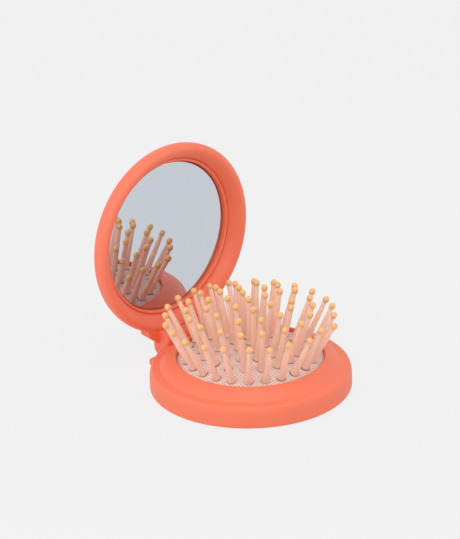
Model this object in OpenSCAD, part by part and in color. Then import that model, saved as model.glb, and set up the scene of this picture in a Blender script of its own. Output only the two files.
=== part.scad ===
// Round folding hairbrush with a mirror in its lid, open with the lid upright.
// The base is a hollow ring with a domed rubber cushion in its opening. The cushion
// carries five rings of ball-tipped pins and can be pushed down through the base,
// so that the lid folds shut over the brush. Millimetres; +Z up; origin at the centre
// of the foot; the hinge lies at +Y with its axis along X.

/* [Base] */
// Outer radius of the base
base_r = 35; // [33:0.1:38]
// Height of the straight part of the side wall
wall_z = 4.4; // [3:0.1:5]
// Height of the shoulder where the side wall has rounded over
shoulder_z = 7.7; // [7.3:0.1:8]
// How far the shoulder lies inside the side wall
shoulder_in = 1.2; // [0.8:0.1:1.6]
// Width of the seat between the shoulder and the sloping top
seat_w = 2.4; // [2:0.1:2.8]
// Rise of the seat towards the sloping top
seat_rise = 0.4; // [0.2:0.1:0.6]
// Swelling of the sloping top
slope_bow = 0.35; // [0:0.05:0.6]
// Height of the lip round the brush opening
lip_z = 11.6; // [11:0.1:12.4]
// Width of the base's ring, from the side wall to the brush opening
ring_w = 9.4; // [8.8:0.1:10]
// Rounding of the lip's edge
lip_round = 0.5; // [0.3:0.1:0.9]
// Rounding of the bottom edge
foot_round = 0.9; // [0.4:0.1:1.5]
// Thickness of the moulded walls
shell_t = 1.8; // [1.4:0.1:2.2]
// Thickness of the bottom plate
plate_t = 1.6; // [1:0.1:2]
// How far the hole in the bottom plate lies inside the brush opening
well_in = 1.2; // [1:0.1:1.6]
// Thickness of the ledge under the lip
ledge_t = 1.9; // [1.5:0.1:2.1]
// Thickness of the wall round the cushion's flange
bore_wall = 1.6; // [1.2:0.1:2]
// Number of ribs inside the base shell
rib_count = 16; // [8:1:24]
// Thickness of a rib
rib_t = 1; // [0.6:0.1:1.6]
// Height of the ring that clamps the cushion's flange
clamp_h = 2; // [1.2:0.1:3]

/* [Lid] */
// How far the lid's edge lies inside the base's edge
lid_in = 0.7; // [0:0.1:1]
// Height of the lid's crown above its rim
lid_h = 12; // [11.5:0.1:13]
// Gap between the closed lid's rim and the base's shoulder
rim_gap = 0.6; // [0.55:0.05:0.9]
// Half the width of the rounded rim
rim_half = 1.95; // [1.7:0.05:2.2]
// Width of the band inside the rim's crest, down to the bead
band_w = 3.95; // [3.6:0.05:4.2]
// Fullness of the band, as the power of its curve
band_power = 1.5; // [1.3:0.05:1.6]
// Squareness of the lid's side, as the power of its curve
lid_power = 2.5; // [2.2:0.1:3]

/* [Mirror] */
// Thickness of the glass
glass_t = 1.4; // [1:0.1:1.5]
// Width of the bevel round the front of the glass
bevel = 0.35; // [0.2:0.05:1]
// Depth of the glass below the lid's rim
mirror_depth = 5.7; // [5.4:0.05:6]
// Gap round the edge of the glass
glass_gap = 0.35; // [0.1:0.05:0.6]
// Thickness of the adhesive sheet behind the mirror
tape_t = 0.2; // [0.1:0.05:0.3]
// Thickness of the silver and paint on the back of the glass
silver_t = 0.1; // [0.05:0.05:0.15]
// Width of the raised bead round the mirror
bead_w = 1.15; // [0.6:0.05:1.4]
// How far the bead stands proud of the glass
bead_up = 1.1; // [0.8:0.1:1.4]

/* [Hinge] */
// Distance of the hinge axis outside the base's wall
pivot_out = 1.02; // [0.9:0.02:1.3]
// Height of the hinge axis above the foot
pivot_z = 7.88; // [7.7:0.02:8.1]
// Radius of the hinge pin
pin_r = 1; // [0.8:0.05:1.3]
// Half length of the base's knuckle
knuckle_x = 5.5; // [4:0.1:6.5]
// Radius of the base's knuckle
knuckle_r = 3.4; // [2.8:0.1:3.6]
// Length of each of the lid's ears along the axis
ear_len = 3.7; // [3:0.1:4.5]
// Radius of the lid's ears
ear_r = 4.2; // [3.9:0.05:4.3]
// Radius of the heel under each ear, which meets the base's wall when the lid is upright
heel_r = 4.1; // [3.8:0.1:4.3]
// How far the heel's middle lies below the hinge axis, with the lid upright
heel_drop = 2.1; // [1.6:0.1:2.3]
// Half width of the hinge blocks on the lid and the base
block_x = 14; // [11:0.1:15]
// How far the base's block stands out of the wall
block_out = 2.1; // [1.6:0.1:2.6]
// Height of the base's block
block_z = 3; // [2:0.1:3.1]
// Height of the lid's block above the hinge axis, with the lid shut
skirt_up = 0.8; // [0.5:0.1:1.2]
// Height of the lid's block from its lower to its upper face
skirt_h = 4.4; // [3.8:0.1:5]
// How far the ends of the lid's block lie inside the hinge axis
skirt_back = 2.85; // [2.4:0.05:3.2]
// How far the lid's block reaches past the hinge axis at the ears
skirt_past = 0.8; // [0.4:0.1:1.2]
// Rounding of the ears' ends
ear_round = 1; // [0.4:0.1:1.2]
// Wall that closes the blind end of the pin's bore
blind_t = 1.3; // [1:0.1:1.6]
// Running gap between the ears and the knuckle
hinge_gap = 0.3; // [0.2:0.05:0.5]
// Gap between a turning piece and the pocket round it
sweep_gap = 0.4; // [0.3:0.05:0.6]
// Radial play of the hinge pin in its bores
pin_play = 0.04; // [0.02:0.01:0.08]

/* [Cushion] */
// Depth of the crown's edge below the lip
edge_depth = 1.4; // [1:0.1:1.6]
// Rise of the crown from its edge to its middle
dome_rise = 5.5; // [4.8:0.1:6.2]
// Thickness of the rubber
skin_t = 1.3; // [1:0.1:1.5]
// Thickness of the clamped flange
flange_t = 1.1; // [0.8:0.1:1.4]
// Width of the flange outside the brush opening
flange_w = 1.15; // [0.9:0.05:1.4]
// Gap between soft and hard pieces
soft_gap = 0.05; // [0.03:0.01:0.1]
// Gap between the cushion's crown and the lip
crown_gap = 0.3; // [0.1:0.05:0.5]
// Gap between a piece and the bore it sits in
seat_gap = 0.1; // [0.05:0.05:0.2]
// Gap between the backing sheet and the hole in the bottom plate
well_gap = 0.6; // [0.4:0.1:1]
// Thickness of the backing sheet under the pin heads
backing_t = 0.8; // [0.5:0.1:1]
// Radius of the thumb disc under the backing
thumb_r = 9; // [7:0.5:12]
// Thickness of the thumb disc
thumb_t = 1.4; // [0.8:0.1:2]

/* [Pins] */
// Distance of the outer ring of pins from the crown's edge
pin_margin = 3.3; // [3:0.1:3.8]
// Lean of a pin, as a multiple of the crown's slope at its foot
pin_lean = 1.25; // [1:0.01:1.28]
// Height of a ball's centre above the cushion
pin_len = 16.3; // [13:0.1:16.6]
// Radius of a pin at its foot
foot_r = 1.15; // [0.9:0.05:1.3]
// Radius of a pin under its ball
neck_r = 0.76; // [0.5:0.02:0.86]
// Radius of the flare where a pin leaves the cushion
flare_r = 1.5; // [1.3:0.05:1.7]
// Height of the flare
flare_h = 1.3; // [0.8:0.1:1.8]
// Radius of a pin's head under the cushion
head_r = 1.5; // [1.3:0.05:1.6]
// Thickness of a pin's head
head_t = 0.6; // [0.4:0.05:0.8]
// Gap under the flare and over the head, which a leaning pin takes up on one side
lean_gap = 0.18; // [0.18:0.01:0.24]
// Radius of a ball tip
ball_r = 1.12; // [1:0.02:1.3]
// Half the height of a ball tip
ball_h = 1.32; // [1:0.02:1.5]
// Depth of the socket in a ball
socket_h = 0.8; // [0.5:0.1:1]
// Gap between a pin and the ball or the rubber round it
pin_fit = 0.02; // [0.01:0.01:0.04]

/* [Hidden] */

coral = "#f4775a";
coral_dark = "#e8694d";
$fn = 96;
// Length by which a cut runs past the solid it cuts
past = 1;

// Base: the shoulder, the seat, and the sloping top up to the lip
opening_r = base_r - ring_w;
well_r = opening_r - well_in;
shoulder_r = base_r - shoulder_in;
slope_r = shoulder_r - seat_w;
slope_z = shoulder_z + seat_rise;
lip_r = opening_r + lip_round;
// The ledge under the lip holds the flange down on the clamp ring
ledge_z = lip_z - ledge_t;
flange_r = opening_r + flange_w;
bore_r = flange_r + seat_gap;
flange_top = ledge_z - soft_gap;
flange_low = flange_top - flange_t;
clamp_top = flange_low - soft_gap;
clamp_low = clamp_top - clamp_h;
plate_r = base_r - shell_t - seat_gap;
inner_wall_r = bore_r + bore_wall;

// Hinge: the pivot, and the heights of the closed lid above it
pivot_y = base_r + pivot_out;
ear_x0 = knuckle_x + hinge_gap;
ear_x1 = ear_x0 + ear_len;
pin_x0 = blind_t - ear_x1;
pin_x1 = ear_x1 - hinge_gap;
heel_reach = heel_drop + heel_r;
boss_x = max(block_x, ear_x1 + shell_t);
boss_y = inner_wall_r - past;

// Closed lid, from its rim up to its crown
rim_z = shoulder_z + rim_gap;
crown_z = rim_z + lid_h;
lid_r = base_r - lid_in;
rim_mid_z = rim_z + rim_half;
rim_mid_r = lid_r - rim_half;
bead_out_r = rim_mid_r - band_w;
pocket_r = bead_out_r - bead_w;
mirror_r = pocket_r - glass_gap;
glass_z = rim_z + mirror_depth;
silver_z = glass_z + glass_t;
tape_z = silver_z + silver_t;
pocket_z = tape_z + tape_t + soft_gap;
bead_r = bead_w / 2;
bead_z = glass_z - bead_up;
skirt_low = pivot_z + skirt_up;
skirt_high = skirt_low + skirt_h;
skirt_y = pivot_y - skirt_back;
// The block starts inside the rim, under its crest
skirt_in = sqrt(rim_mid_r * rim_mid_r - block_x * block_x) - past;

// Cushion and pins
crown_r = opening_r - crown_gap;
dome_z = lip_z - edge_depth + dome_rise;
dome_r = (crown_r * crown_r + dome_rise * dome_rise) / (2 * dome_rise);
centre_z = dome_z - dome_r;
under_r = dome_r - skin_t;
back_r = under_r - head_t - 2 * lean_gap;
backing_r = well_r - well_gap;
ring_step = (crown_r - pin_margin) / 4;

// Height of a sphere about the cushion's centre, r_out from the axis
function dome(radius, r_out) = centre_z + sqrt(radius * radius - r_out * r_out);
// Points of an ellipse's arc from angle a to angle b
function arc(x, y, rx, ry, a, b, steps) =
    [for (i = [0:steps]) let (t = a + (b - a) * i / steps) [x + rx * cos(t), y + ry * sin(t)]];
// Points of a spherical cap's outline from the axis out to r_out
function cap(radius, r_out, steps) =
    [for (i = [0:steps]) let (r = r_out * i / steps) [r, dome(radius, r)]];
// A number from 0 to 1 raised to a power, kept at 0 where rounding makes it negative
function part_power(v, p) = pow(max(v, 0), p);

// Height of the base's sloping top, r_out from the axis
function slope(r_out) = let (t = (slope_r - r_out) / (slope_r - lip_r))
    slope_z + (lip_z - slope_z) * t + 4 * slope_bow * t * (1 - t);

function base_outline() = concat(
    arc(base_r - foot_round, foot_round, foot_round, foot_round, -90, 0, 6),
    arc(shoulder_r, wall_z, shoulder_in, shoulder_z - wall_z, 0, 90, 10),
    [for (i = [0:8]) let (r = slope_r + (lip_r - slope_r) * i / 8) [r, slope(r)]],
    arc(lip_r, lip_z - lip_round, lip_round, lip_round, 90, 180, 5));

// A bar along X with the given outline in Y and Z
module along_x(half) {
    rotate([90, 0, 90]) translate([0, 0, -half]) linear_extrude(2 * half) children();
}

// A cylinder on the hinge axis from x0 to x1
module on_axis(r, x0, x1) {
    translate([x0, pivot_y, pivot_z]) rotate([0, 90, 0]) cylinder(r = r, h = x1 - x0);
}

// Turns a piece of the closed lid up to where the open lid stands
module lid_open() {
    translate([0, pivot_y, pivot_z]) rotate([-90, 0, 0])
        translate([0, -pivot_y, -pivot_z]) children();
}

// The base's hinge block, low and rounded, under the lid's ears
module base_block() {
    edge = 1.1;
    along_x(block_x)
        polygon(concat(
            [[boss_y, 0]],
            arc(base_r + block_out - edge, edge, edge, edge, -90, 0, 5),
            arc(base_r + block_out - edge, block_z - edge, edge, edge, 0, 90, 5),
            [[boss_y, block_z]]));
}

// The web that carries the base's knuckle
module knuckle_web() {
    along_x(knuckle_x)
        polygon([[boss_y, plate_t], [boss_y, shoulder_z], [shoulder_r, shoulder_z],
            [pivot_y, pivot_z], [base_r + block_out, block_z / 2], [base_r, plate_t]]);
}

module base_cavity() {
    outer = base_r - shell_t;
    difference() {
        rotate_extrude() polygon([[inner_wall_r, plate_t - past], [outer, plate_t - past],
            [outer, wall_z], [slope_r, slope_z - shell_t],
            [inner_wall_r, slope(inner_wall_r) - shell_t]]);
        translate([-boss_x, boss_y, 0]) cube([2 * boss_x, base_r, lip_z]);
        for (i = [0:rib_count - 1])
            rotate([0, 0, 90 + 180 / rib_count + i * 360 / rib_count])
                translate([inner_wall_r - past, -rib_t / 2, 0])
                    cube([base_r - inner_wall_r, rib_t, lip_z]);
    }
}

module base_shell() color(coral) {
    difference() {
        union() {
            rotate_extrude() polygon(concat([[0, 0]], base_outline(), [[0, lip_z - lip_round]]));
            base_block();
            knuckle_web();
            on_axis(knuckle_r, -knuckle_x, knuckle_x);
        }
        translate([0, 0, -past]) cylinder(r = opening_r, h = lip_z + 2 * past);
        translate([0, 0, -past]) cylinder(r = bore_r, h = ledge_z + past);
        translate([0, 0, -past]) cylinder(r = base_r - shell_t, h = plate_t + past + soft_gap);
        base_cavity();
        for (side = [-1, 1]) {
            x0 = side > 0 ? knuckle_x : -ear_x1 - hinge_gap;
            x1 = x0 + ear_len + 2 * hinge_gap;
            on_axis(ear_r + sweep_gap, x0, x1);
            // Outside the wall the pocket goes deeper, for the heel
            intersection() {
                on_axis(heel_reach + sweep_gap, x0, x1);
                translate([x0 - past, base_r, 0]) cube([x1 - x0 + 2 * past, base_r, pivot_z]);
            }
        }
        on_axis(pin_r + pin_play, -knuckle_x - past, knuckle_x + past);
    }
}

// Bottom plate with the collar that presses the clamp ring up
module base_plate() color(coral_dark) {
    difference() {
        union() {
            cylinder(r = plate_r, h = plate_t);
            cylinder(r = flange_r, h = clamp_low - soft_gap);
        }
        translate([0, 0, -past]) cylinder(r = well_r, h = lip_z);
    }
}

// Ring that holds the cushion's flange against the ledge
module clamp_ring() color("#d9d4cf") {
    translate([0, 0, clamp_low]) difference() {
        cylinder(r = flange_r, h = clamp_h);
        translate([0, 0, -past]) cylinder(r = well_r, h = clamp_h + 2 * past);
    }
}

// Places a piece on the cushion's crown, leaning out a little more than the crown does
module on_dome(r_out, turn) {
    rotate([0, 0, turn]) translate([r_out, 0, dome(dome_r, r_out)])
        rotate([0, pin_lean * asin(r_out / dome_r), 0]) children();
}

// Repeats a piece round one ring of pins
module in_ring(ring) {
    count = max(1, 6 * ring);
    for (i = [0:count - 1]) on_dome(ring * ring_step, i * 360 / count) children();
}

module cushion() color("#e8bfb0") {
    inner_r = crown_r - skin_t / 2;
    difference() {
        rotate_extrude() polygon(concat(
            cap(dome_r, crown_r, 16),
            [[crown_r, flange_top], [flange_r, flange_top], [flange_r, flange_low],
             [inner_r, flange_low]],
            [for (i = [16:-1:0]) let (r = inner_r * i / 16)
                [r, max(flange_low, dome(under_r, r))]]));
        for (ring = [0:4]) in_ring(ring)
            translate([0, 0, -skin_t - past]) cylinder(r = foot_r + pin_fit, h = skin_t + 2 * past, $fn = 24);
    }
}

// Sheet under the pin heads, following the crown
module cushion_backing() color("#d8a99a") {
    rotate_extrude() polygon(concat(cap(back_r, backing_r, 12),
        [for (i = [12:-1:0]) let (r = backing_r * i / 12) [r, dome(back_r - backing_t, r)]]));
}

// Disc under the backing, where the thumb presses the brush out
module thumb_disc() color(coral) {
    top_r = back_r - backing_t - soft_gap;
    edge = 0.5;
    low = dome(top_r, thumb_r) - thumb_t;
    rotate_extrude() polygon(concat(cap(top_r, thumb_r, 6),
        arc(thumb_r - edge, low + edge, edge, edge, 0, -90, 4), [[0, low]]));
}

// One pin, standing on the crown: head, root, bulb-shaped foot and tapered shaft
module pin() {
    top = pin_len - ball_h + socket_h;
    head_z = -skin_t - lean_gap;
    rotate_extrude($fn = 24) polygon(concat(
        [[0, head_z - head_t], [head_r, head_z - head_t], [head_r, head_z], [foot_r, head_z],
         [foot_r, lean_gap]],
        [for (i = [0:6]) let (t = i / 6)
            [foot_r + (flare_r - foot_r) * (1 + cos(180 * t)) / 2,
             lean_gap + (flare_h - lean_gap) * t]],
        [[neck_r, top], [0, top]]));
}

// One ball with the socket for its pin
module ball() {
    bottom = pin_len - ball_h;
    mouth = acos((neck_r + pin_fit) / ball_r);
    rotate_extrude($fn = 24) polygon(concat(
        [[0, bottom + socket_h + pin_fit], [neck_r + pin_fit, bottom + socket_h + pin_fit]],
        arc(0, pin_len, ball_r, ball_h, -mouth, 90, 12)));
}

module pins(ring) color("#e0ab8b") in_ring(ring) pin();
module tips(ring) color("#efb976") in_ring(ring) ball();

module hinge_pin() color("silver") on_axis(pin_r, pin_x0, pin_x1);

// A barrel with rounded ends, parallel to the hinge axis
module barrel(r) {
    rotate([0, 90, 0]) rotate_extrude() polygon(concat([[0, 0]],
        arc(r - ear_round, ear_round, ear_round, ear_round, -90, 0, 5),
        arc(r - ear_round, ear_len - ear_round, ear_round, ear_round, 0, 90, 5),
        [[0, ear_len]]));
}

// An ear of the lid and its heel, which is cut flat where it meets the base's wall
module lid_ear(side) {
    low = side > 0 ? ear_x0 : -ear_x1;
    translate([low, pivot_y, pivot_z]) {
        barrel(ear_r);
        intersection() {
            translate([0, heel_drop, 0]) barrel(heel_r);
            translate([0, 0, seat_gap - pivot_out]) cube(2 * heel_reach);
        }
    }
}

// The lid's hinge block, which squares off its round edge and narrows down to the ears
module lid_skirt() {
    edge = 0.8;
    ear_y = pivot_y + skirt_past;
    difference() {
        intersection() {
            along_x(block_x) polygon(concat(
                [[skirt_in, skirt_low], [ear_y, skirt_low], [ear_y, pivot_z + ear_r]],
                arc(skirt_y - edge, skirt_high - edge, edge, edge, 60, 90, 3),
                [[skirt_in, skirt_high]]));
            linear_extrude(crown_z) polygon([[-block_x, skirt_in], [-block_x, skirt_y],
                [-ear_x1, ear_y], [ear_x1, ear_y], [block_x, skirt_y], [block_x, skirt_in]]);
        }
        cylinder(r = rim_mid_r, h = crown_z);
    }
}

function lid_outline() = concat(
    [[0, pocket_z], [pocket_r, pocket_z]],
    arc(pocket_r + bead_r, bead_z, bead_r, bead_r, 180, 360, 8),
    [for (i = [1:15]) let (t = 90 * i / 16)
        [rim_mid_r - band_w * part_power(cos(t), 2 / band_power),
         bead_z - (bead_z - rim_z) * part_power(sin(t), 2 / band_power)]],
    arc(rim_mid_r, rim_mid_z, rim_half, rim_half, 270, 360, 10),
    [for (i = [1:24]) let (t = 90 * i / 24)
        [lid_r * part_power(cos(t), 2 / lid_power),
         rim_mid_z + (crown_z - rim_mid_z) * part_power(sin(t), 2 / lid_power)]]);

module lid_shell() color(coral) lid_open() {
    difference() {
        union() {
            rotate_extrude() polygon(lid_outline());
            lid_skirt();
            for (side = [-1, 1]) lid_ear(side);
        }
        on_axis(knuckle_r + sweep_gap, -ear_x0, ear_x0);
        translate([-ear_x0, skirt_y, 0]) cube([2 * ear_x0, base_r, crown_z]);
        on_axis(pin_r + pin_play, pin_x0 - seat_gap, ear_x1 + past);
    }
}

module mirror_glass() color("#c4ccd2") lid_open() {
    rotate_extrude() polygon([[0, glass_z], [mirror_r - bevel, glass_z],
        [mirror_r, glass_z + bevel / 2], [mirror_r, silver_z], [0, silver_z]]);
}

module mirror_silver() color("silver") lid_open() {
    translate([0, 0, silver_z]) cylinder(r = mirror_r - glass_gap, h = silver_t);
}

module mirror_tape() color("#8f8f8f") lid_open() {
    translate([0, 0, tape_z]) cylinder(r = mirror_r - glass_t, h = tape_t);
}

base_shell();
base_plate();
clamp_ring();
cushion();
cushion_backing();
thumb_disc();
pins(0);  // pin_centre
pins(1);  // pins_ring_1
pins(2);  // pins_ring_2
pins(3);  // pins_ring_3
pins(4);  // pins_ring_4
tips(0);  // tip_centre
tips(1);  // tips_ring_1
tips(2);  // tips_ring_2
tips(3);  // tips_ring_3
tips(4);  // tips_ring_4
hinge_pin();
lid_shell();
mirror_glass();
mirror_silver();
mirror_tape();
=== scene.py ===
import math
import random

import bpy
import numpy as np
from mathutils import Matrix, Vector


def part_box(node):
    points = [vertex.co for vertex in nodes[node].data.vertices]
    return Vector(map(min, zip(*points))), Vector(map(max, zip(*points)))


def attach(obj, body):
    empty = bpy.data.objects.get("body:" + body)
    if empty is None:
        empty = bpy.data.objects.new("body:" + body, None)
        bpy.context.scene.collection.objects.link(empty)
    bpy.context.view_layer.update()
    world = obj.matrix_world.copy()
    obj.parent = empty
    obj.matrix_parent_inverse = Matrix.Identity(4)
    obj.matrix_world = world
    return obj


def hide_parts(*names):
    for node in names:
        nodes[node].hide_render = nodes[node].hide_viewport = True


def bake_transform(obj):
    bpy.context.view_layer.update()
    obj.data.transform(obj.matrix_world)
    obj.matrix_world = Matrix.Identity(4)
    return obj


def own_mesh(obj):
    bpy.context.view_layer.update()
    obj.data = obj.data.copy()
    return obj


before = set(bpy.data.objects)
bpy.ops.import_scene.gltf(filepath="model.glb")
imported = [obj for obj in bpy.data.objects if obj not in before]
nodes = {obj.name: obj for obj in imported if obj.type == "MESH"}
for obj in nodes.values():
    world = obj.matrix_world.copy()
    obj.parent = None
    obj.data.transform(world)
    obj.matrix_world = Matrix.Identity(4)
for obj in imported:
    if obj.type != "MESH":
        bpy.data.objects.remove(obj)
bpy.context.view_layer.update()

# Base shell
# The hollow ring that the brush stands in: one injection moulding in ABS with the hinge
# knuckle and the low block behind it, sprayed all over with a coral soft-touch lacquer.

MM = 0.001
MIX_A, MIX_B, MIX_OUT = 6, 7, 2  # the sockets of a Mix node that hold colours


def linear(hex_colour):
    """An sRGB hex colour as linear RGBA."""
    channels = [int(hex_colour[i : i + 2], 16) / 255 for i in (1, 3, 5)]
    return [c / 12.92 if c <= 0.04045 else ((c + 0.055) / 1.055) ** 2.4 for c in channels] + [1]


def add(tree, kind, sockets=None, **settings):
    """Adds a node with its settings. Each socket takes a value, or another node's output."""
    node = tree.nodes.new(kind)
    for name, value in settings.items():
        setattr(node, name, value)
    for name, value in (sockets or {}).items():
        if isinstance(value, bpy.types.NodeSocket):
            tree.links.new(value, node.inputs[name])
        else:
            node.inputs[name].default_value = value
    return node.outputs


def empty_material(name):
    """A material without nodes, and its node tree."""
    material = bpy.data.materials.new(name)
    material.use_nodes = True
    material.node_tree.nodes.clear()
    return material, material.node_tree


def coat(obj, material):
    """Gives a piece one material all over."""
    obj.data.materials.clear()
    obj.data.materials.append(material)


def soft_touch_lacquer(name, colour, shade):
    """Soft-touch polyurethane lacquer, sprayed on ABS: an even colour, whose fine rubbery
    grit spreads the gloss into wide, soft highlights."""
    grit_size = 0.35 * MM  # the real grit is 0.05 mm; drawn coarser so that it shows
    cloud_size = 14 * MM
    material, tree = empty_material(name)
    place = add(tree, "ShaderNodeTexCoord")["Object"]
    cloud = add(tree, "ShaderNodeTexNoise", {"Vector": place, "Scale": 1 / cloud_size})
    grit = add(tree, "ShaderNodeTexNoise", {"Vector": place, "Scale": 1 / grit_size})
    tint = add(
        tree,
        "ShaderNodeMix",
        {"Factor": cloud["Fac"], MIX_A: linear(shade), MIX_B: linear(colour)},
        data_type="RGBA",
    )
    rough = add(
        tree,
        "ShaderNodeMapRange",
        {"Value": grit["Fac"], "To Min": 0.42, "To Max": 0.52},
    )
    bump = add(
        tree,
        "ShaderNodeBump",
        {"Height": grit["Fac"], "Strength": 0.12, "Distance": 0.03 * MM},
    )
    shader = add(
        tree,
        "ShaderNodeBsdfPrincipled",
        {
            "Base Color": tint[MIX_OUT],
            "Roughness": rough["Result"],
            "Normal": bump["Normal"],
            "IOR": 1.5,
        },
    )
    add(tree, "ShaderNodeOutputMaterial", {"Surface": shader["BSDF"]})
    return material


lacquer = soft_touch_lacquer("coral_soft_touch_lacquer", "#f47959", "#f27454")
coat(nodes["base_shell"], lacquer)

# Bottom plate
# A flat ring of the same ABS without the lacquer, pressed into the base shell from below.
# Its collar pushes the clamp ring up against the cushion's flange.


def moulded_abs(name, colour, shade):
    """ABS as it leaves a finely eroded mould: satin, with an even grain."""
    grain_size = 0.4 * MM  # the real grain is 0.05 mm; drawn coarser so that it shows
    material, tree = empty_material(name)
    place = add(tree, "ShaderNodeTexCoord")["Object"]
    grain = add(
        tree, "ShaderNodeTexNoise", {"Vector": place, "Scale": 1 / grain_size, "Detail": 3}
    )
    tint = add(
        tree,
        "ShaderNodeMix",
        {"Factor": grain["Fac"], MIX_A: linear(shade), MIX_B: linear(colour)},
        data_type="RGBA",
    )
    bump = add(
        tree,
        "ShaderNodeBump",
        {"Height": grain["Fac"], "Strength": 0.25, "Distance": 0.04 * MM},
    )
    shader = add(
        tree,
        "ShaderNodeBsdfPrincipled",
        {"Base Color": tint[MIX_OUT], "Roughness": 0.42, "Normal": bump["Normal"], "IOR": 1.54},
    )
    add(tree, "ShaderNodeOutputMaterial", {"Surface": shader["BSDF"]})
    return material


coral_abs = moulded_abs("coral_moulded_abs", "#ea6f53", "#e2674b")
coat(nodes["base_plate"], coral_abs)

# Clamp ring
# A square-section ring in natural, uncoloured ABS that holds the cushion's flange up
# against the ledge under the lip. It is seen only from below, through the well.

coat(nodes["clamp_ring"], moulded_abs("natural_moulded_abs", "#ddd8d0", "#d2ccc3"))

# Cushion
# The domed pad in the opening, moulded in soft rubber with a fine woven skin. Each pin
# leaves it through a small pocket, which is sunk into the skin and painted dark as the shade
# in the gap round the pin's foot. It turns inside out when the brush is pushed down.

CROWN_R = 25.3 * MM
CROWN_RISE = 5.5 * MM
SKIN = 1.3 * MM
FLANGE = 1.1 * MM
RINGS = 4
RING_STEP = 5.5 * MM
FLANGE_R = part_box("cushion")[1].x
FLANGE_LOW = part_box("cushion")[0].z
crown_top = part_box("cushion")[1].z
crown_sphere = (CROWN_R**2 + CROWN_RISE**2) / (2 * CROWN_RISE)
crown_centre = crown_top - crown_sphere


def crown_height(r_out, below=0):
    """Height of the crown, or of the surface that lies a distance below it."""
    return crown_centre + np.sqrt((crown_sphere - below) ** 2 - r_out**2)


def turned(outline, steps):
    """Points and faces of an outline of (radius, height) turned once about Z."""
    axis_reach = 1e-7  # a point of the outline nearer to the axis than this lies on it
    points, rows, faces = [], [], []
    for radius, height in outline:
        count = steps if radius > axis_reach else 1
        rows.append(range(len(points), len(points) + count))
        for i in range(count):
            angle = 2 * math.pi * i / steps
            points.append((radius * math.cos(angle), radius * math.sin(angle), height))
    for low, high in zip(rows, rows[1:]):
        if len(low) == len(high) == 1:
            continue
        for i in range(steps):
            j = (i + 1) % steps
            corners = [
                low[i % len(low)],
                low[j % len(low)],
                high[j % len(high)],
                high[i % len(high)],
            ]
            faces.append(list(dict.fromkeys(corners)))
    return np.array(points), faces


def piece(name, points, faces, material, crease=40):
    """A smooth-shaded mesh object, with sharp edges where faces meet at more than crease."""
    mesh = bpy.data.meshes.new(name)
    mesh.from_pydata([tuple(p) for p in points], [], faces)
    mesh.update()
    mesh.shade_smooth()
    mesh.set_sharp_from_angle(angle=math.radians(crease))
    mesh.materials.append(material)
    obj = bpy.data.objects.new(name, mesh)
    bpy.context.scene.collection.objects.link(obj)
    return obj


def pin_places():
    """Ring number and angle of each pin, in rings of 1, 6, 12, 18 and 24."""
    for ring in range(RINGS + 1):
        count = max(1, 6 * ring)
        for i in range(count):
            yield ring, 2 * math.pi * i / count


def woven_rubber(name):
    """Rubber moulded against cloth: soft and matt, with the cloth's plain weave in relief,
    and painted shade that darkens the pocket round each pin towards a deep brownish red.
    The weave's threads are 0.4 mm apart; drawn coarser so that they show."""
    thread = 0.9 * MM
    band_scale = math.pi / (10 * thread)  # a Wave node repeats every pi / (10 * scale)
    cloud_size = 3 * MM
    patch_share = 0.3
    material, tree = empty_material(name)
    place = add(tree, "ShaderNodeTexCoord")["Object"]
    bands = {"Vector": place, "Scale": band_scale, "Distortion": 0.6, "Detail Scale": 2}
    warp = add(tree, "ShaderNodeTexWave", bands, bands_direction="X")
    weft = add(tree, "ShaderNodeTexWave", bands, bands_direction="Y")
    over = add(tree, "ShaderNodeTexChecker", {"Vector": place, "Scale": 1 / thread})
    weave = add(
        tree, "ShaderNodeMix", {"Factor": over["Fac"], "A": warp["Fac"], "B": weft["Fac"]}
    )
    cloud = add(
        tree, "ShaderNodeTexNoise", {"Vector": place, "Scale": 1 / cloud_size, "Detail": 3}
    )
    thread_tint = add(
        tree,
        "ShaderNodeMix",
        {"Factor": weave["Result"], MIX_A: linear("#ba8a7c"), MIX_B: linear("#ffe9e2")},
        data_type="RGBA",
    )
    patchy = add(
        tree,
        "ShaderNodeMix",
        {"Factor": cloud["Fac"], MIX_A: linear("#e6cac1"), MIX_B: linear("#f8d8cc")},
        data_type="RGBA",
    )
    tint = add(
        tree,
        "ShaderNodeMix",
        {"Factor": patch_share, MIX_A: thread_tint[MIX_OUT], MIX_B: patchy[MIX_OUT]},
        data_type="RGBA",
    )
    # painted shade: the pocket mask darkens the skin towards #a4533a round each pin's foot
    pocket = add(tree, "ShaderNodeAttribute", attribute_name="pocket")
    shaded = add(
        tree,
        "ShaderNodeMix",
        {"Factor": pocket["Fac"], MIX_A: tint[MIX_OUT], MIX_B: linear("#a4533a")},
        data_type="RGBA",
    )
    bump = add(
        tree,
        "ShaderNodeBump",
        {"Height": weave["Result"], "Strength": 0.5, "Distance": 0.12 * MM},
    )
    shader = add(
        tree,
        "ShaderNodeBsdfPrincipled",
        {
            "Base Color": shaded[MIX_OUT],
            "Roughness": 0.75,
            "Normal": bump["Normal"],
            "IOR": 1.52,
        },
    )
    add(tree, "ShaderNodeOutputMaterial", {"Surface": shader["BSDF"]})
    return material


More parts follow.
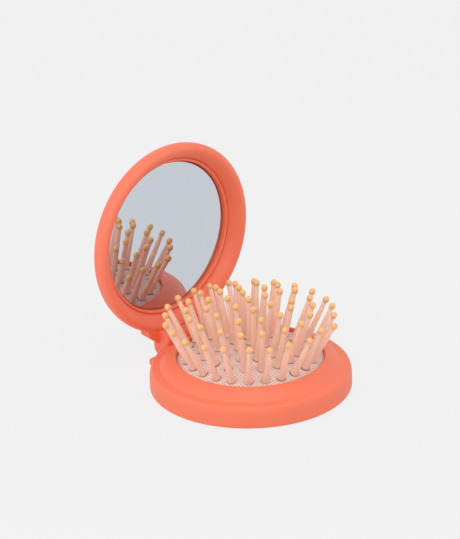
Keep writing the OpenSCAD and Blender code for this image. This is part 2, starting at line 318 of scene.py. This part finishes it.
POCKET_R = 1.7 * MM
POCKET_EDGE = 0.3 * MM
POCKET_DEPTH = 0.4 * MM
POCKET_SHIFT = 0.2 * MM
POCKET_FAINTEST = 0.3  # depth and painted shade of the faintest pocket, as a share of the full ones
POCKET_SEED = 3
ROLL_R = 23.5 * MM  # outside this radius the skin is thin and rolls as the brush goes down
ROLL_SKIN = 0.05 * MM
ROLL_FADE = 1 * MM  # the pockets' depth runs out to nothing over this width inside ROLL_R; their painted shade stays
TOP_ROWS = 90
UNDER_ROWS = 24
ROUND_STEPS = 400
CORNER = 60  # degrees; the skin's edges are sharp, but not the pockets
chance = random.Random(POCKET_SEED)
roll_z = float(crown_height(ROLL_R)) - ROLL_SKIN
top_radii = np.linspace(0, CROWN_R, TOP_ROWS)
under_radii = np.linspace(ROLL_R, 0, UNDER_ROWS)
cushion_outline = (
    [(r, crown_height(r)) for r in top_radii]
    + [(CROWN_R, FLANGE_LOW + FLANGE), (FLANGE_R, FLANGE_LOW + FLANGE), (FLANGE_R, FLANGE_LOW)]
    + [(CROWN_R - SKIN / 2, FLANGE_LOW)]
    + [(r, max(roll_z, crown_height(r, SKIN))) for r in under_radii]
)
cushion_points, cushion_faces = turned(cushion_outline, ROUND_STEPS)
top_count = 1 + (TOP_ROWS - 1) * ROUND_STEPS
# how deep in a pin's pocket each point of the top lies: it sinks the skin there and sets the
# painted shade
in_pocket = np.zeros(len(cushion_points))
for ring, angle in pin_places():
    x = ring * RING_STEP * math.cos(angle) + chance.uniform(-1, 1) * POCKET_SHIFT
    y = ring * RING_STEP * math.sin(angle) + chance.uniform(-1, 1) * POCKET_SHIFT
    away = np.hypot(cushion_points[:top_count, 0] - x, cushion_points[:top_count, 1] - y)
    inside = np.clip((POCKET_R - away) / POCKET_EDGE, 0, 1)
    inside = inside * chance.uniform(POCKET_FAINTEST, 1)
    in_pocket[:top_count] = np.maximum(in_pocket[:top_count], inside)
points_out = np.hypot(cushion_points[:, 0], cushion_points[:, 1])
full_depth = np.clip((ROLL_R - points_out) / ROLL_FADE, 0, 1)
cushion_points[:, 2] -= POCKET_DEPTH * in_pocket * full_depth
cushion = piece(
    "cushion_skin",
    cushion_points,
    cushion_faces,
    woven_rubber("cloth_moulded_rubber"),
    CORNER,
)
# the pockets' painted shade, read by the cushion's material
pocket_mask = cushion.data.attributes.new("pocket", "FLOAT", "POINT")
pocket_mask.data.foreach_set("value", in_pocket.astype(np.float32))
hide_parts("cushion")
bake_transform(cushion)

# Backing sheet
# A sheet of firmer rubber under the pin heads that keeps them in the cushion and carries
# the load when the brush is pushed. It shows from below.


def clouded_matt(name, colour, shade):
    """A smooth matt surface with faint clouds, which compression-moulded rubber gets from
    its bloom, and paint and adhesive from their uneven thickness."""
    cloud_size = 4 * MM
    material, tree = empty_material(name)
    place = add(tree, "ShaderNodeTexCoord")["Object"]
    cloud = add(
        tree, "ShaderNodeTexNoise", {"Vector": place, "Scale": 1 / cloud_size, "Detail": 4}
    )
    tint = add(
        tree,
        "ShaderNodeMix",
        {"Factor": cloud["Fac"], MIX_A: linear(shade), MIX_B: linear(colour)},
        data_type="RGBA",
    )
    bump = add(
        tree,
        "ShaderNodeBump",
        {"Height": cloud["Fac"], "Strength": 0.2, "Distance": 0.1 * MM},
    )
    shader = add(
        tree,
        "ShaderNodeBsdfPrincipled",
        {"Base Color": tint[MIX_OUT], "Roughness": 0.65, "Normal": bump["Normal"], "IOR": 1.52},
    )
    add(tree, "ShaderNodeOutputMaterial", {"Surface": shader["BSDF"]})
    return material


backing_rubber = clouded_matt("compression_moulded_rubber", "#dba796", "#cf9887")
coat(nodes["cushion_backing"], backing_rubber)

# Thumb disc
# The round button in the middle of the backing, moulded in coral ABS and stuck on. A push
# on it from below makes the brush snap out.

coat(nodes["thumb_disc"], coral_abs)

# Pins
# Sixty-one tapered nylon pins, each moulded with a bulb at its foot and a head that the
# rubber holds. They lean outwards, each a little its own way, as pulled through by hand.

PIN_LEN = 16.3 * MM  # from the skin up to the ball's middle
PIN_LEAN = 1.25  # as a multiple of the crown's slope at the pin's foot
STRAY = math.radians(1.6)
STRAY_SEED = 11
HEAD_R, HEAD_T = 1.5 * MM, 0.6 * MM
FOOT_R, BULB_R, BULB_H = 1.15 * MM, 1.5 * MM, 1.3 * MM
NECK_R = 0.76 * MM
SEAT = 0.18 * MM  # gap under the bulb and over the head, which the lean takes up on one side
BALL_R, BALL_H = 1.12 * MM, 1.32 * MM
SOCKET = 0.8 * MM  # how far the pin reaches into its ball
BULB_STEPS = 8
PIN_STEPS = 28


def moulded_nylon(name, colour, deep):
    """Unfilled nylon, injection moulded: peach-tinted and translucent, so light from the
    side glows through it, with a soft gloss."""
    cloud_size = 2.5 * MM
    material, tree = empty_material(name)
    place = add(tree, "ShaderNodeTexCoord")["Object"]
    cloud = add(
        tree, "ShaderNodeTexNoise", {"Vector": place, "Scale": 1 / cloud_size, "Detail": 2}
    )
    tint = add(
        tree,
        "ShaderNodeMix",
        {"Factor": cloud["Fac"], MIX_A: linear(deep), MIX_B: linear(colour)},
        data_type="RGBA",
    )
    shader = add(
        tree,
        "ShaderNodeBsdfPrincipled",
        {
            "Base Color": tint[MIX_OUT],
            "Roughness": 0.38,
            "IOR": 1.53,
            "Subsurface Weight": 0.7,
            "Subsurface Radius": (1.0, 0.75, 0.6),
            "Subsurface Scale": 1.5 * MM,
        },
    )
    add(tree, "ShaderNodeOutputMaterial", {"Surface": shader["BSDF"]})
    return material


nylon = moulded_nylon("peach_moulded_nylon", "#f3d0bd", "#eec4af")
bulb = [
    (FOOT_R + (BULB_R - FOOT_R) * (1 + math.cos(math.pi * t)) / 2, SEAT + (BULB_H - SEAT) * t)
    for t in [i / BULB_STEPS for i in range(BULB_STEPS + 1)]
]
neck_top = PIN_LEN - BALL_H + SOCKET
shaft_outline = (
    [(0, -SKIN - HEAD_T), (HEAD_R, -SKIN - HEAD_T)]
    + [(HEAD_R, -SKIN - SEAT), (FOOT_R, -SKIN - SEAT), (FOOT_R, SEAT)]
    + bulb
    + [(NECK_R, neck_top), (0, neck_top)]
)


def standing(ring, angle, stray_x, stray_y):
    """Where a pin stands: on the crown, leaning outwards and a little astray."""
    r_out = ring * RING_STEP
    foot = Vector((r_out * math.cos(angle), r_out * math.sin(angle), crown_height(r_out)))
    lean = PIN_LEAN * math.asin(r_out / crown_sphere)
    turn = Matrix.Rotation(angle, 4, "Z") @ Matrix.Rotation(lean, 4, "Y")
    stray = Matrix.Rotation(stray_x, 4, "X") @ Matrix.Rotation(stray_y, 4, "Y")
    return Matrix.Translation(foot) @ turn @ stray


def gathered(shape, places):
    """Copies of one turned shape at several places, as one set of points and faces."""
    points, faces = shape
    all_points, all_faces = [], []
    for place in places:
        start = len(all_points)
        all_points += [place @ Vector(p) for p in points]
        all_faces += [[start + corner for corner in face] for face in faces]
    return all_points, all_faces


chance = random.Random(STRAY_SEED)
pin_stands = [
    (ring, angle, standing(ring, angle, chance.gauss(0, STRAY), chance.gauss(0, STRAY)))
    for ring, angle in pin_places()
]
shaft = turned(shaft_outline, PIN_STEPS)


def fold_in(obj):
    """Gives an outer pin a mesh of its own."""
    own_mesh(obj)


def set_rings(shape, material, label, node_names):
    """The inner rings as one mesh each, and the outer ring's pieces one by one."""
    for ring in range(RINGS):
        stands = [place for r, angle, place in pin_stands if r == ring]
        obj = piece(f"{label}_ring_{ring}", *gathered(shape, stands), material)
        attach(obj, "brush")
        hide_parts(node_names[ring])
    outer = [(angle, place) for r, angle, place in pin_stands if r == RINGS]
    for i, (angle, place) in enumerate(outer):
        obj = piece(f"{label}_outer_{i:02d}", *gathered(shape, [place]), material)
        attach(obj, "brush")
        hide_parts(node_names[RINGS])
        fold_in(obj)


pin_nodes = ["pin_centre"] + [f"pins_ring_{ring}" for ring in range(1, RINGS + 1)]
set_rings(shaft, nylon, "shafts", pin_nodes)

# Ball tips
# A drop of amber epoxy resin on each pin's end, dipped and then hardened: slightly taller
# than wide, softly glossy and a little translucent.


def dipped_resin(name, colour, deep):
    """Dipped epoxy: an amber drop with a soft gloss and some depth under it."""
    cloud_size = 1.5 * MM
    material, tree = empty_material(name)
    place = add(tree, "ShaderNodeTexCoord")["Object"]
    cloud = add(
        tree, "ShaderNodeTexNoise", {"Vector": place, "Scale": 1 / cloud_size, "Detail": 2}
    )
    tint = add(
        tree,
        "ShaderNodeMix",
        {"Factor": cloud["Fac"], MIX_A: linear(deep), MIX_B: linear(colour)},
        data_type="RGBA",
    )
    shader = add(
        tree,
        "ShaderNodeBsdfPrincipled",
        {
            "Base Color": tint[MIX_OUT],
            "Roughness": 0.3,
            "IOR": 1.55,
            "Subsurface Weight": 0.4,
            "Subsurface Radius": (1.0, 0.7, 0.3),
            "Subsurface Scale": 1.0 * MM,
        },
    )
    add(tree, "ShaderNodeOutputMaterial", {"Surface": shader["BSDF"]})
    return material


PIN_FIT = 0.02 * MM  # gap between a pin's end and its ball
BALL_STEPS = 14
socket_r = NECK_R + PIN_FIT
socket_z = neck_top + PIN_FIT
mouth = math.acos(socket_r / BALL_R)
ball_arc = [-mouth + (math.pi / 2 + mouth) * i / BALL_STEPS for i in range(BALL_STEPS + 1)]
ball_outline = [(0, socket_z), (socket_r, socket_z)] + [
    (BALL_R * math.cos(a), PIN_LEN + BALL_H * math.sin(a)) for a in ball_arc
]
tip_nodes = ["tip_centre"] + [f"tips_ring_{ring}" for ring in range(1, RINGS + 1)]
resin = dipped_resin("amber_dipped_resin", "#f3c184", "#ecb271")
set_rings(turned(ball_outline, PIN_STEPS), resin, "balls", tip_nodes)

# Hinge pin
# A length of drawn steel wire that runs through the base's knuckle and into both ears of
# the lid. Only its end face shows.


def drawn_steel(name):
    """Drawn stainless wire: bright, with fine lines along its length."""
    line_width = 0.1 * MM  # the real lines are 0.02 mm; drawn coarser so that they show
    line_slimness = 0.05  # a line's width as a share of its length
    material, tree = empty_material(name)
    place = add(tree, "ShaderNodeTexCoord")["Object"]
    stretched = add(
        tree, "ShaderNodeMapping", {"Vector": place, "Scale": (line_slimness, 1, 1)}
    )
    lines = add(
        tree, "ShaderNodeTexNoise", {"Vector": stretched["Vector"], "Scale": 1 / line_width}
    )
    rough = add(
        tree, "ShaderNodeMapRange", {"Value": lines["Fac"], "To Min": 0.22, "To Max": 0.38}
    )
    shader = add(
        tree,
        "ShaderNodeBsdfPrincipled",
        {"Base Color": linear("#c4c4c6"), "Metallic": 1.0, "Roughness": rough["Result"]},
    )
    add(tree, "ShaderNodeOutputMaterial", {"Surface": shader["BSDF"]})
    return material


coat(nodes["hinge_pin"], drawn_steel("drawn_steel_wire"))

# Lid shell
# The domed cover: one ABS moulding with its rim, inner band, bead round the mirror, hinge
# ears and the block that carries them, and the same coral soft-touch lacquer as the base.

coat(nodes["lid_shell"], lacquer)

# Mirror
# Float glass cut round with a ground bevel, silvered and painted on its back, and held in
# the lid by a disc of adhesive sheet.


def silvered_glass(name):
    """Float glass over silver: a clean reflection, cooled by the glass's faint blue-grey."""
    material, tree = empty_material(name)
    shader = add(
        tree,
        "ShaderNodeBsdfPrincipled",
        {"Base Color": linear("#d0d6dd"), "Metallic": 1.0, "Roughness": 0.015},
    )
    add(tree, "ShaderNodeOutputMaterial", {"Surface": shader["BSDF"]})
    return material


coat(nodes["mirror_glass"], silvered_glass("silvered_float_glass"))
coat(nodes["mirror_silver"], clouded_matt("rolled_on_back_paint", "#b8bcc0", "#a9adb1"))
coat(nodes["mirror_tape"], clouded_matt("cast_adhesive_sheet", "#8f8f8f", "#858585"))

# Floor and room
# A seamless pale sweep in a photographer's studio: matt painted board that takes a faint
# shadow, in a room of the same pale grey.

BACKGROUND = "#f2f2f2"
FLOOR_SIDE = 6.0
FLOOR_SINK = 0.02 * MM  # keeps the floor's face clear of the foot's


def seen_directly(tree):
    """1 where the eye, a reflection or clear glass looks, and 0 for scattered light."""
    path = add(tree, "ShaderNodeLightPath")
    either = add(
        tree,
        "ShaderNodeMath",
        {0: path["Is Camera Ray"], 1: path["Is Glossy Ray"]},
        operation="MAXIMUM",
    )
    return add(
        tree,
        "ShaderNodeMath",
        {0: either["Value"], 1: path["Is Transmission Ray"]},
        operation="MAXIMUM",
    )["Value"]


def studio_floor(name):
    """Matt white board, lit evenly, in which only part of the shadow is kept."""
    plain_share = 0.9
    material, tree = empty_material(name)
    board = add(tree, "ShaderNodeBsdfDiffuse", {"Color": linear("#e6e6e6")})
    plain = add(tree, "ShaderNodeEmission", {"Color": linear(BACKGROUND), "Strength": 1.0})
    share = add(
        tree, "ShaderNodeMath", {0: seen_directly(tree), 1: plain_share}, operation="MULTIPLY"
    )
    mixed = add(
        tree,
        "ShaderNodeMixShader",
        {0: share["Value"], 1: board["BSDF"], 2: plain["Emission"]},
    )
    add(tree, "ShaderNodeOutputMaterial", {"Surface": mixed["Shader"]})
    return material


half = FLOOR_SIDE / 2
corners = [(-half, -half, 0), (half, -half, 0), (half, half, 0), (-half, half, 0)]
floor = piece("studio_floor", corners, [[0, 1, 2, 3]], studio_floor("matt_white_board"))
floor.location.z = -FLOOR_SINK

ROOM_LIGHT = 0.72
world = bpy.data.worlds.new("pale_room")
bpy.context.scene.world = world
world.use_nodes = True
world.node_tree.nodes.clear()
room = world.node_tree
scattered = add(
    room, "ShaderNodeBackground", {"Color": linear("#ffffff"), "Strength": ROOM_LIGHT}
)
seen = add(room, "ShaderNodeBackground", {"Color": linear(BACKGROUND), "Strength": 1.0})
either = add(
    room,
    "ShaderNodeMixShader",
    {0: seen_directly(room), 1: scattered["Background"], 2: seen["Background"]},
)
add(room, "ShaderNodeOutputWorld", {"Surface": either["Shader"]})

# Lamps
# Four square soft boxes: front left, overhead, left and a little behind, and a weaker one
# front right that keeps the side wall from going dark.


def soft_box(name, place, side, power):
    """A square lamp that faces the object. Place and side are in metres, power in watts."""
    lamp = bpy.data.lights.new(name, "AREA")
    lamp.shape = "SQUARE"
    lamp.size = side
    lamp.energy = power
    obj = bpy.data.objects.new(name, lamp)
    bpy.context.scene.collection.objects.link(obj)
    obj.location = place
    obj.rotation_euler = (-Vector(place)).to_track_quat("-Z", "Y").to_euler()


soft_box("key_box", (-0.65, -0.6, 0.6), 0.6, 1.9)
soft_box("top_box", (-0.1, -0.2, 1.0), 0.6, 1.7)
soft_box("left_box", (-0.8, 0.3, 0.6), 0.5, 2.2)
soft_box("fill_box", (0.65, -0.7, 0.45), 0.5, 0.9)

# Camera
# A long lens about a metre away, 25 degrees above the table, on the side where the lid
# opens to the left.

PHOTO_W, PHOTO_H = 460, 539
FOCAL_PX = 3029.4
FOOT_PX = (251.0, 384.7)  # where the middle of the foot falls in the frame
DISTANCE = 1.05
NEAREST = 0.05
AZIMUTH, ELEVATION, ROLL = math.radians(-42.86), math.radians(25.38), math.radians(1.21)
SENSOR = 36.0  # mm, along the frame's longer side

# The camera is set level towards the middle of the foot, rolled, and then turned aside until
# the foot falls on FOOT_PX.
back = Vector(
    (
        math.sin(AZIMUTH) * math.cos(ELEVATION),
        -math.cos(AZIMUTH) * math.cos(ELEVATION),
        math.sin(ELEVATION),
    )
)
right = Vector((math.cos(AZIMUTH), math.sin(AZIMUTH), 0))
level = Matrix((right, back.cross(right), back))
aim = Vector((FOOT_PX[0] - PHOTO_W / 2, PHOTO_H / 2 - FOOT_PX[1], -FOCAL_PX))
aside = Vector((0, 0, -1)).rotation_difference(aim).to_matrix()
view = aside @ Matrix.Rotation(ROLL, 3, "Z") @ level
lens = bpy.data.cameras.new("long_lens")
lens.sensor_width = SENSOR
lens.lens = FOCAL_PX * SENSOR / max(PHOTO_W, PHOTO_H)
lens.clip_start = NEAREST
camera = bpy.data.objects.new("camera", lens)
bpy.context.scene.collection.objects.link(camera)
camera.matrix_world = Matrix.Translation(DISTANCE * back) @ view.transposed().to_4x4()
bpy.context.scene.camera = camera
bpy.context.scene.view_settings.view_transform = "Standard"
